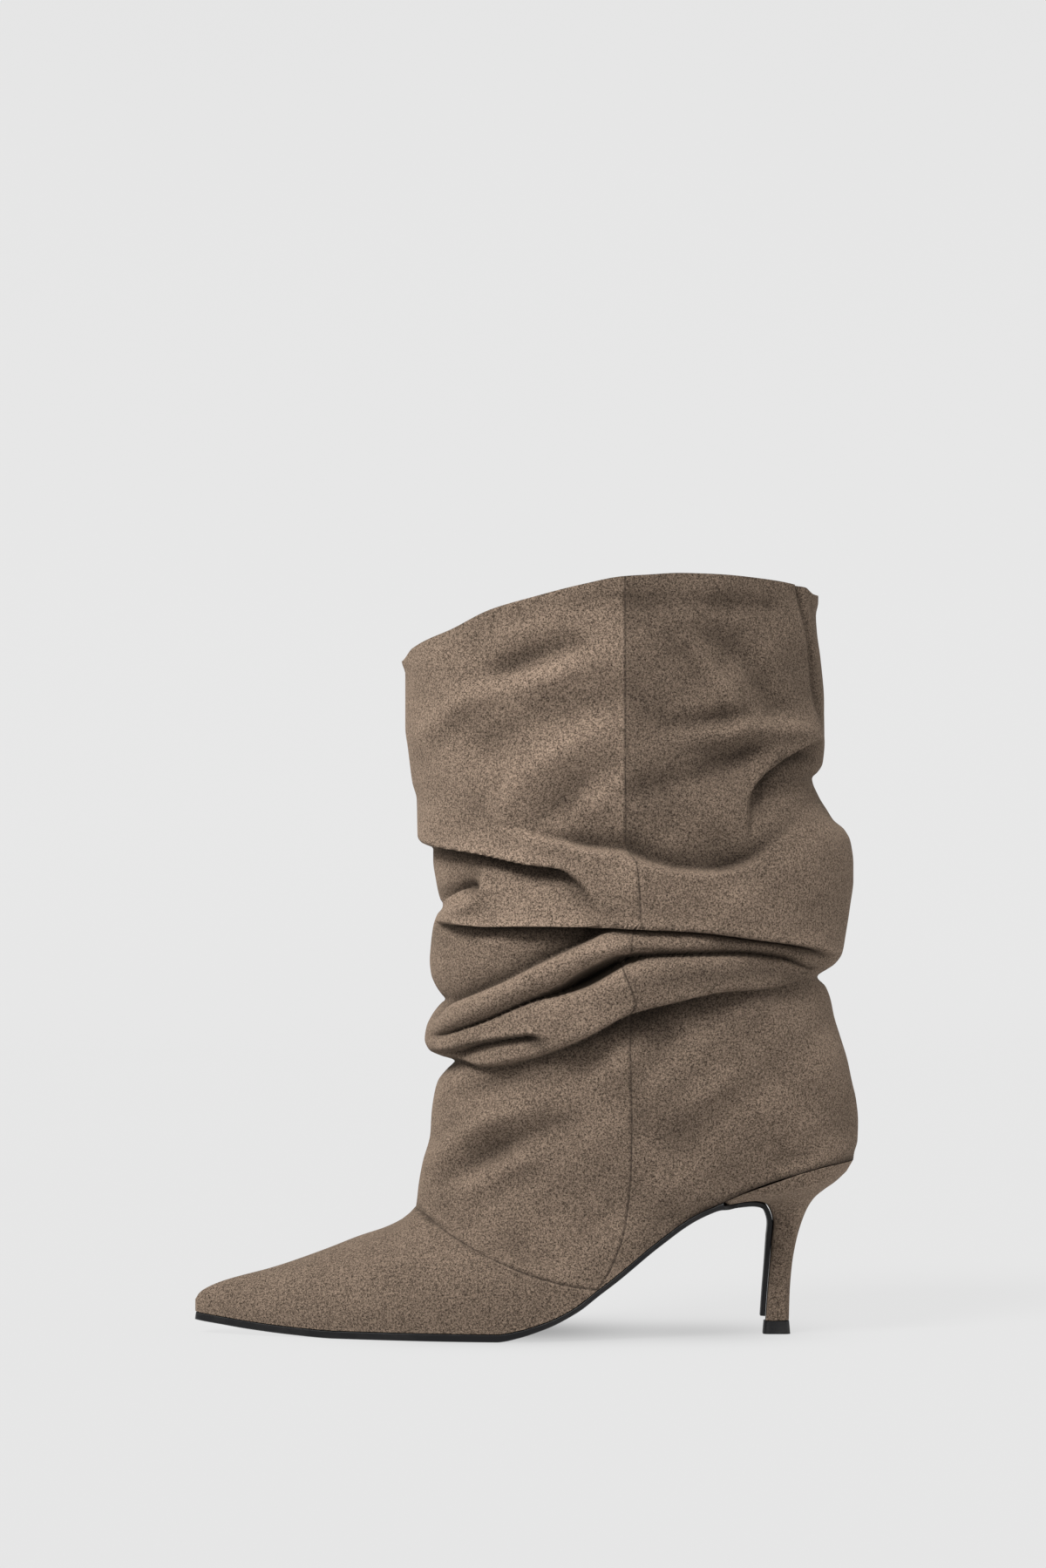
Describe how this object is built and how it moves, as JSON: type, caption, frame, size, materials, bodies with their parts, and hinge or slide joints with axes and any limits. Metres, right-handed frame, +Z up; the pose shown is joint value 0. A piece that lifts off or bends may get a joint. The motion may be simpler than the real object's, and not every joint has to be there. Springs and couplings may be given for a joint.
{
  "type": "slouch boot",
  "caption": "Pointed suede slouch boot with a loose folded leg, thin black sole and slim covered heel.",
  "frame": {"origin": "centre of the top lift's underside, on the floor", "axes": "+Z up, -X towards the toe, -Y towards the wearer's outer side (the left side of a left boot)"},
  "size_m": [0.2497, 0.098, 0.2841],
  "materials": {
    "suede": "matt taupe suede",
    "insole_board": "smooth lining leather",
    "black_sole": "satin black",
    "lift_rubber": "satin black"
  },
  "bodies": {
    "root": {"upper": "suede", "heel": "suede", "insole": "insole_board", "outsole": "black_sole", "top_lift": "lift_rubber"}
  },
  "joints": []
}
